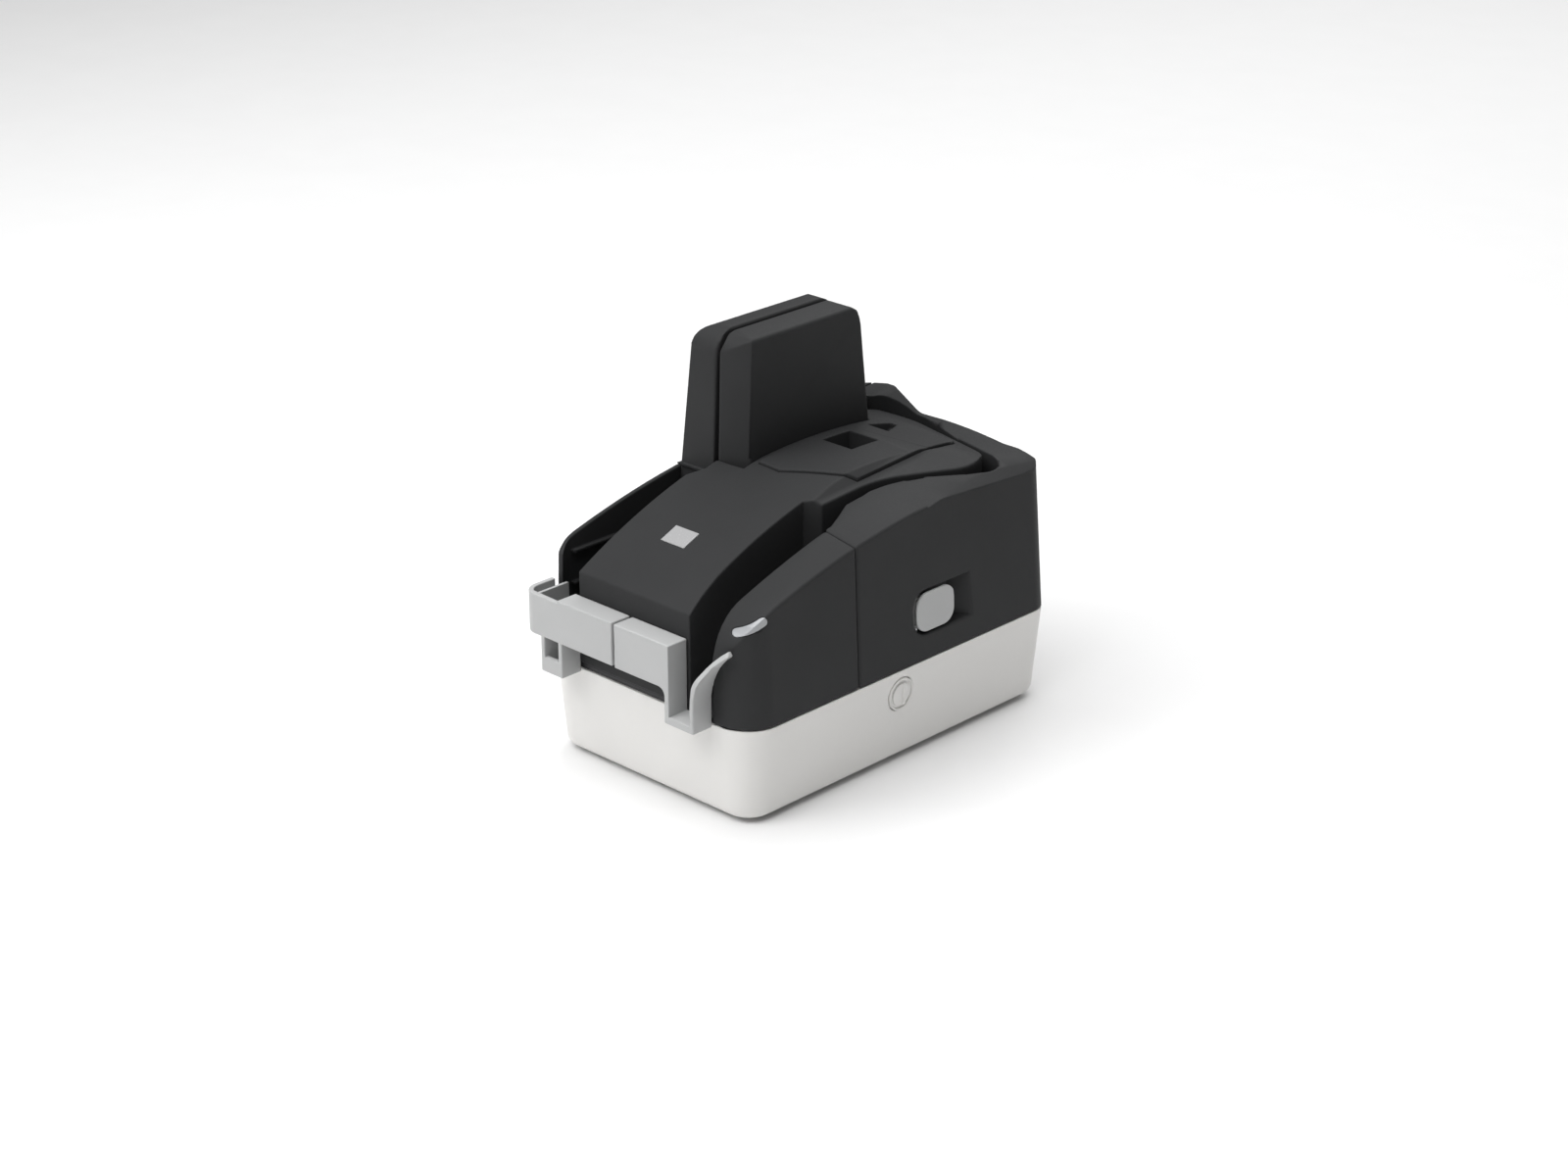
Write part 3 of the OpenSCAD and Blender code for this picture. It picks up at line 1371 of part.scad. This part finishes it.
exit_right = island_left - 2;
exit_left = exit_right - exit_w;
loop_x = right_x - 0.5;
rib_x = 7.6 - right_x;
function loop_outline(d) = rounded([
    [d - loop_x, loop_back + 5, 0],
    [d - loop_x, d - guide_d, loop_r - d],
    [exit_right + guide_wall + 1, d - guide_d, 0],
    [exit_right + guide_wall + 1, loop_back + 5, 0]
], 8);
module exit_guide() {
    color(grey) {
        // The loop round the left end
        difference() {
            prism_z(band_lo, band_hi - 1, loop_outline(0));
            prism_z(band_lo + guide_wall, band_hi, loop_outline(guide_wall));
            block([exit_left, guide_wall - guide_d, band_lo - 1], [exit_right, 20, band_hi]);
            block([guide_wall - loop_x, -back_gap, band_lo - 1], [right_x, 20, band_hi]);
            block([-right_x, loop_back, band_lo - 1], [right_x, 20, band_hi]);
        }
        // The inner rib that closes the loop against the left cover
        block([rib_x, guide_wall - guide_d, band_lo], [rib_x + 1.5, loop_back + 3, band_hi - 2]);
        // The band
        band(exit_right, groove_x - groove_w / 2);
        // The narrow channel with its window
        difference() {
            block([exit_left - guide_wall, -guide_d, feed_floor - guide_floor],
                [exit_right + guide_wall, -back_gap, band_lo + 0.5]);
            block([exit_left, guide_wall - guide_d, feed_floor], [exit_right, 1, band_lo + 1]);
            block([exit_left, -guide_d - 1, exit_lip], [exit_right, 1, band_lo + 1]);
        }
    }
}

placed() base_tub();
placed() rubber_feet();
placed() deck_screws();
placed() chassis_deck();
placed() shaft_plate();
placed() shaft_bushes();
placed() front_right_cover();
placed() island_cover();
placed() tower_right_shell();
placed() exit_guide();
placed() feed_guide();
placed() status_light();
placed() label_plate();
placed() power_button();
placed() usb_socket();
placed() power_socket();
placed() main_board();
placed() motor();
placed() motor_pulley();
placed() drive_belt();
placed() pickup_belt();
placed() right_sensor();
placed() right_glass();
placed() magnetic_head();
placed() cartridge_holder();
placed() ink_cartridge();
placed() cartridge_cover();
placed() rear_corner();
placed() side_hinge_pin();
placed() left_hinge_pin();
placed() pressure_plate();
placed() pickup_shaft();
placed() pickup_roller();
placed() feed_shaft();
placed() feed_roller();
placed() run_shaft();
placed() run_roller();
placed() rear_shaft();
placed() rear_roller();
placed() tower_shaft();
placed() tower_roller();
placed() exit_shaft();
placed() exit_roller();
placed() side_cover();
placed() side_latch();
placed() side_latch_pin();
placed() retard_roller();
placed() run_pinch_roller();
placed() rear_pinch_roller();
placed() side_pinch_axles();
placed() left_cover();
placed() tower_left_shell();
placed() left_sensor();
placed() left_glass();
placed() exit_pinch_roller();
placed() exit_pinch_axle();
placed() tower_pinch_roller();
placed() tower_pinch_axle();
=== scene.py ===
import json
import math

import bmesh
import bpy
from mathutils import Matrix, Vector
from mathutils.bvhtree import BVHTree


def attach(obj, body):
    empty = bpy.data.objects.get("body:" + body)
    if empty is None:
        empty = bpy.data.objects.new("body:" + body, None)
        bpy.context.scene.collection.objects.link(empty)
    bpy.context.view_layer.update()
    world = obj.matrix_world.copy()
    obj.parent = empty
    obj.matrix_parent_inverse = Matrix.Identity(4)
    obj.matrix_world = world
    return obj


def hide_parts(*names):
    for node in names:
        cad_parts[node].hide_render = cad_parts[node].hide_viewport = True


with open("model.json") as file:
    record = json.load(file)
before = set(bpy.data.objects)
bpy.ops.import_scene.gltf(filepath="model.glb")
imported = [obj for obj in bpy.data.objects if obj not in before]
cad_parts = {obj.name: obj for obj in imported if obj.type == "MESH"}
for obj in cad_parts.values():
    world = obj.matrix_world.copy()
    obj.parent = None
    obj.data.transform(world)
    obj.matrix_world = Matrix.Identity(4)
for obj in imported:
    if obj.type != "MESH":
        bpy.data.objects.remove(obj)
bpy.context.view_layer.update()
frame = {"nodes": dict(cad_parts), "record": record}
nodes = frame["nodes"]
body_of_node = {n: b for b, ns in frame["record"]["behaviour"]["bodies"].items() for n in ns}
slot_of_node = {s["node"]: s["material_slot"] for s in frame["record"]["subparts"]}

# Camera, at the photograph's angle
CAMERA_AT = Vector((0.93044, -0.96800, 0.64354))
CAMERA_TO = Vector((-0.018094, 0.013044, 0.060))
LENS = 72
SENSOR = 36
camera_data = bpy.data.cameras.new("camera")
camera_data.lens = LENS
camera_data.sensor_width = SENSOR
camera = bpy.data.objects.new("camera", camera_data)
camera.location = CAMERA_AT
camera.rotation_euler = (CAMERA_TO - CAMERA_AT).to_track_quat("-Z", "Y").to_euler()
bpy.context.scene.collection.objects.link(camera)
bpy.context.scene.camera = camera


# Materials

# Broad noise mottles the colour, fine noise roughens the surface
BROAD_SCALE = 22.0
BROAD_DETAIL = 4.0
FINE_DETAIL = 2.0
NOISE_LOW = 0.3
NOISE_HIGH = 0.7
BUMP_STRENGTH = 0.6
EDGE_SAMPLES = 4

# Cosine between the softened and the true normal where the painted edge highlight starts, where it is full,
# and its share
HIGHLIGHT_START = 0.995
HIGHLIGHT_FULL = 0.88
HIGHLIGHT_SHARE = 0.5


def node_of(tree, kind, **values):
    made = tree.nodes.new(kind)
    for key, value in values.items():
        setattr(made, key, value)
    return made


def noise_of(tree, vector, scale, detail):
    """A noise texture that reads its place from the given output."""
    made = node_of(tree, "ShaderNodeTexNoise")
    made.inputs["Scale"].default_value = scale
    made.inputs["Detail"].default_value = detail
    tree.links.new(vector, made.inputs["Vector"])
    return made.outputs["Fac"]


def ranged(tree, value, start, end, low, high):
    """A value that runs from low to high while the given one runs from start to end."""
    made = node_of(tree, "ShaderNodeMapRange")
    made.inputs["From Min"].default_value = start
    made.inputs["From Max"].default_value = end
    made.inputs["To Min"].default_value = low
    made.inputs["To Max"].default_value = high
    tree.links.new(value, made.inputs["Value"])
    return made.outputs["Result"]


def mottled(tree, broad, color, mottle):
    """The colour, a little darker and lighter with the broad noise."""
    ramp = node_of(tree, "ShaderNodeValToRGB")
    ends = ramp.color_ramp.elements
    ends[0].position, ends[1].position = NOISE_LOW, NOISE_HIGH
    ends[0].color = (*(c * (1 - mottle) for c in color), 1)
    ends[1].color = (*(min(1.0, c * (1 + mottle)) for c in color), 1)
    tree.links.new(broad, ramp.inputs["Fac"])
    return ramp.outputs["Color"]


def painted_edge_highlight(tree, base, soft_normal, broad, edge):
    """The base colour with a patchy painted highlight, paler where the surface turns."""
    link = tree.links.new
    shape = node_of(tree, "ShaderNodeNewGeometry")
    turn = node_of(tree, "ShaderNodeVectorMath", operation="DOT_PRODUCT")
    link(soft_normal, turn.inputs[0])
    link(shape.outputs["Normal"], turn.inputs[1])
    near = ranged(tree, turn.outputs["Value"], HIGHLIGHT_START, HIGHLIGHT_FULL, 0.0, HIGHLIGHT_SHARE)
    patchy = node_of(tree, "ShaderNodeMath", operation="MULTIPLY")
    link(near, patchy.inputs[0])
    link(broad, patchy.inputs[1])
    # Painted highlight: the edge colour is mixed over the base where the softened normal turns away from the
    # true one
    highlighted = node_of(tree, "ShaderNodeMix", data_type="RGBA")
    highlighted.inputs["B"].default_value = (*edge, 1)
    link(patchy.outputs["Value"], highlighted.inputs["Factor"])
    link(base, highlighted.inputs["A"])
    return highlighted.outputs["Result"]


def moulded(name, color, rough, grain=1500.0, grain_depth=0.00003, mottle=0.06, rough_spread=0.07,
            edge=None, edge_radius=0.0007, metallic=0.0, streak=None, **sockets):
    """A plastic, rubber or metal surface: fine moulded grain, slight mottling, and a painted highlight along
    its edges.
    """
    material = bpy.data.materials.new(name)
    material.use_nodes = True
    tree = material.node_tree
    link = tree.links.new
    shader = tree.nodes["Principled BSDF"]
    shader.inputs["Metallic"].default_value = metallic
    for key, value in sockets.items():
        shader.inputs[key.replace("_", " ")].default_value = value
    place = node_of(tree, "ShaderNodeTexCoord").outputs["Object"]
    fine_place = place
    if streak:
        stretch = node_of(tree, "ShaderNodeMapping")
        stretch.inputs["Scale"].default_value = streak
        link(place, stretch.inputs["Vector"])
        fine_place = stretch.outputs["Vector"]
    broad = noise_of(tree, place, BROAD_SCALE, BROAD_DETAIL)
    fine = noise_of(tree, fine_place, grain, FINE_DETAIL)
    link(ranged(tree, fine, NOISE_LOW, NOISE_HIGH, rough - rough_spread, rough + rough_spread),
         shader.inputs["Roughness"])
    soft = node_of(tree, "ShaderNodeBevel", samples=EDGE_SAMPLES)
    soft.inputs["Radius"].default_value = edge_radius
    bump = node_of(tree, "ShaderNodeBump")
    bump.inputs["Strength"].default_value = BUMP_STRENGTH
    bump.inputs["Distance"].default_value = grain_depth
    link(fine, bump.inputs["Height"])
    link(soft.outputs["Normal"], bump.inputs["Normal"])
    link(bump.outputs["Normal"], shader.inputs["Normal"])
    base = mottled(tree, broad, color, mottle)
    # An edge colour paints a highlight along the turning edges
    if edge:
        base = painted_edge_highlight(tree, base, soft.outputs["Normal"], broad, edge)
    link(base, shader.inputs["Base Color"])
    return material


FINISH = {
    # The edge colours below are painted highlights along the rounded edges
    "dark_shell": moulded("charcoal_shell", (0.036, 0.0365, 0.0375), 0.5, grain=1900, grain_depth=0.00004,
                          mottle=0.05, edge=(0.075, 0.077, 0.08), edge_radius=0.0011,
                          Specular_IOR_Level=0.09),
    "light_shell": moulded("warm_white_shell", (0.80, 0.79, 0.77), 0.42, grain=1500, grain_depth=0.00002,
                           mottle=0.012, edge=(0.87, 0.86, 0.84)),
    "guide_grey": moulded("guide_grey_plastic", (0.46, 0.465, 0.465), 0.42, grain=1700, grain_depth=0.00002,
                          mottle=0.03, edge=(0.56, 0.57, 0.57)),
    "chassis_black": moulded("chassis_black_plastic", (0.02, 0.02, 0.022), 0.55, mottle=0.08),
    "foot_rubber": moulded("roller_rubber", (0.022, 0.022, 0.023), 0.8, grain=900, grain_depth=0.00006,
                           mottle=0.12),
    "steel": moulded("plated_steel", (0.56, 0.57, 0.59), 0.3, grain=700, grain_depth=0.00001, mottle=0.05,
                     metallic=1.0, streak=(1.0, 1.0, 0.05)),
    "bronze": moulded("sintered_bronze", (0.5, 0.34, 0.15), 0.45, grain=2500, mottle=0.1, metallic=1.0),
    "shaft_white": moulded("natural_acetal", (0.75, 0.74, 0.7), 0.38, mottle=0.03),
    "lens": moulded("light_lens", (0.35, 0.36, 0.375), 0.2, grain=600, grain_depth=0.00001, mottle=0.03,
                    Coat_Weight=0.6, Coat_Roughness=0.08),
    "label": moulded("label_print", (0.40, 0.40, 0.405), 0.22, grain=1200, grain_depth=0.00001, mottle=0.02,
                     Coat_Weight=0.5, Coat_Roughness=0.1),
    "board": moulded("board_lacquer", (0.015, 0.12, 0.05), 0.3, mottle=0.15),
    "sensor": moulded("sensor_housing", (0.045, 0.05, 0.055), 0.45, mottle=0.06),
    "ink": moulded("cartridge_blue", (0.04, 0.06, 0.18), 0.35, mottle=0.06),
}


SMEAR_SCALE = 60.0
SMEAR_ROUGH = (0.02, 0.09)


def clear_glass(name):
    """Clear glass with faint surface unevenness."""
    material = bpy.data.materials.new(name)
    material.use_nodes = True
    tree = material.node_tree
    shader = tree.nodes["Principled BSDF"]
    shader.inputs["Base Color"].default_value = (0.82, 0.9, 0.89, 1)
    shader.inputs["Transmission Weight"].default_value = 1.0
    shader.inputs["IOR"].default_value = 1.5
    place = node_of(tree, "ShaderNodeTexCoord").outputs["Object"]
    smear = noise_of(tree, place, SMEAR_SCALE, FINE_DETAIL)
    tree.links.new(ranged(tree, smear, 0.0, 1.0, *SMEAR_ROUGH), shader.inputs["Roughness"])
    return material


FINISH["glass"] = clear_glass("sensor_glass")


def dress(piece, material):
    piece.data.materials.clear()
    piece.data.materials.append(material)
    return piece


for name, piece in nodes.items():
    dress(piece, FINISH[slot_of_node[name]])


# Pieces with rounded edges that stand for the CAD shells

WELD = 0.00002
FLAT_ANGLE = math.radians(0.6)
SHARP_ANGLE = math.radians(28)
SMOOTH_ANGLE = math.radians(32)
SEGMENTS = 3
ROUNDS = 8
LEVEL_WEIGHT = 60

# Shares of the rounding's width: the room it needs, how far it may stray, and how far a stray reaches
SPARE_LENGTH = 1.3
SPARE_HEIGHT = 1.9
MOST_STRAY = 0.62
STRAY_REACH = 1.5

# Faces smaller than this aren't judged; the others face as the surface does, by this cosine at least
LEAST_AREA = 1e-10
LEAST_FACING = 0.3


def height_of(face, edge):
    """How deep a face is behind one of its edges."""
    a, b = (v.co for v in edge.verts)
    along = (b - a).normalized()
    reach = [((v.co - a) - along * (v.co - a).dot(along)).length for v in face.verts if v not in edge.verts]
    return max(reach) if reach else 0.0


def distance_to(ends, point):
    """Distance of a point from a straight edge."""
    a, b = ends
    along = b - a
    part = max(0.0, min(1.0, (point - a).dot(along) / max(along.length_squared, 1e-12)))
    return (a + along * part - point).length


def cleaned(node):
    """The node's mesh with its flat faces joined."""
    bm = bmesh.new()
    bm.from_mesh(nodes[node].data)
    bmesh.ops.remove_doubles(bm, verts=bm.verts, dist=WELD)
    bmesh.ops.dissolve_degenerate(bm, edges=bm.edges, dist=WELD)
    bmesh.ops.dissolve_limit(bm, angle_limit=FLAT_ANGLE, verts=bm.verts, edges=bm.edges)
    bmesh.ops.recalc_face_normals(bm, faces=bm.faces)
    bm.edges.index_update()
    return bm


def sharp_edges(bm, width, left_alone):
    """Outer edges with room for a rounding of this width, both beside them and at their ends."""
    chosen = [e for e in bm.edges if e.index not in left_alone and e.is_manifold and e.calc_length() >= width
              and e.calc_face_angle_signed(0.0) >= SHARP_ANGLE
              and min(height_of(f, e) for f in e.link_faces) >= SPARE_HEIGHT * width]
    while True:
        kept = set(chosen)
        roomy = [e for e in chosen if all(o in kept or o.calc_length() >= SPARE_LENGTH * width
                                          for v in e.verts for o in v.link_edges)]
        if len(roomy) == len(chosen):
            return chosen
        chosen = roomy


def strays(bm, surface, width):
    """Places where a rounding leaves the surface or turns against it."""
    found = [v.co.copy() for v in bm.verts if surface.find_nearest(v.co)[3] > MOST_STRAY * width]
    for f in bm.faces:
        middle = f.calc_center_median()
        facing = surface.find_nearest(middle)[1]
        if f.calc_area() > LEAST_AREA and f.normal.dot(facing) < LEAST_FACING:
            found.append(middle)
    return found


def rounded_mesh(node, width):
    """The node's mesh with rounded edges. An edge whose rounding strays from the surface stays as it was."""
    left_alone = set()
    for _ in range(ROUNDS):
        bm = cleaned(node)
        surface = BVHTree.FromBMesh(bm)
        sharp = sharp_edges(bm, width, left_alone)
        if not sharp:
            return bm
        places = [(e.index, [v.co.copy() for v in e.verts]) for e in sharp]
        bmesh.ops.bevel(bm, geom=sharp, offset=width, offset_type="OFFSET", segments=SEGMENTS, profile=0.5,
                        affect="EDGES", clamp_overlap=False, loop_slide=True, miter_outer="SHARP")
        bm.normal_update()
        stray = strays(bm, surface, width)
        near = {i for i, ends in places
                if any(distance_to(ends, p) < STRAY_REACH * width for p in stray)}
        if not near:
            return bm
        left_alone |= near
        bm.free()
    return cleaned(node)


def rounded_copy(node, width):
    """A copy of a CAD node with its sharp outer edges rounded; it stands for that node."""
    bm = rounded_mesh(node, width)
    for f in bm.faces:
        f.smooth = True
    for e in bm.edges:
        e.smooth = e.is_manifold and abs(e.calc_face_angle(0.0)) < SMOOTH_ANGLE
    mesh = bpy.data.meshes.new(f"{node}_rounded")
    bm.to_mesh(mesh)
    bm.free()
    piece = bpy.data.objects.new(f"{node}_rounded", mesh)
    bpy.context.scene.collection.objects.link(piece)
    level = piece.modifiers.new("level", "WEIGHTED_NORMAL")
    level.keep_sharp = True
    level.weight = LEVEL_WEIGHT
    dress(piece, FINISH[slot_of_node[node]])
    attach(piece, body_of_node[node])
    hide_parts(node)
    return piece


EDGE_WIDTHS = {
    "base_tub": 0.0006, "power_button": 0.0004, "rubber_feet": 0.0006,
    "front_right_cover": 0.0012, "side_cover": 0.0012, "left_cover": 0.0009, "rear_corner": 0.0009,
    "island_cover": 0.0009, "cartridge_cover": 0.0005,
    "tower_right_shell": 0.0015, "tower_left_shell": 0.0015,
    "exit_guide": 0.0006, "feed_guide": 0.0007, "side_latch": 0.0006, "status_light": 0.0003,
    "label_plate": 0.0003, "pressure_plate": 0.0003,
}
for name, width in EDGE_WIDTHS.items():
    rounded_copy(name, width)


# Floor and light

FLOOR_SIZE = 8.0
bpy.ops.mesh.primitive_plane_add(size=FLOOR_SIZE, location=(0, 0, 0))
floor = bpy.context.object
floor.name = "floor"
dress(floor, moulded("floor_paper", (0.9, 0.9, 0.9), 0.85, grain=300, grain_depth=0.00001, mottle=0.006))


def area_light(name, at, to, size, power):
    """A white rectangular light that stands at one place and faces another."""
    data = bpy.data.lights.new(name, "AREA")
    data.shape = "RECTANGLE"
    data.size, data.size_y = size
    data.energy = power
    light = bpy.data.objects.new(name, data)
    light.location = at
    light.rotation_euler = (Vector(to) - Vector(at)).to_track_quat("-Z", "Y").to_euler()
    bpy.context.scene.collection.objects.link(light)


area_light("key", at=(-0.75, -1.5, 1.15), to=(0, 0, 0.08), size=(1.1, 0.9), power=8)
area_light("top", at=(-0.15, -0.45, 1.7), to=(0, 0, 0.1), size=(2.0, 2.0), power=40)
area_light("rear", at=(-0.6, 1.7, 1.6), to=(-0.7, 1.2, 0), size=(2.0, 1.4), power=18)

WORLD_STRENGTH = 0.16
world = bpy.data.worlds.new("studio")
world.use_nodes = True
world.node_tree.nodes["Background"].inputs["Color"].default_value = (1, 1, 1, 1)
world.node_tree.nodes["Background"].inputs["Strength"].default_value = WORLD_STRENGTH
bpy.context.scene.world = world
bpy.context.scene.view_settings.view_transform = "Standard"
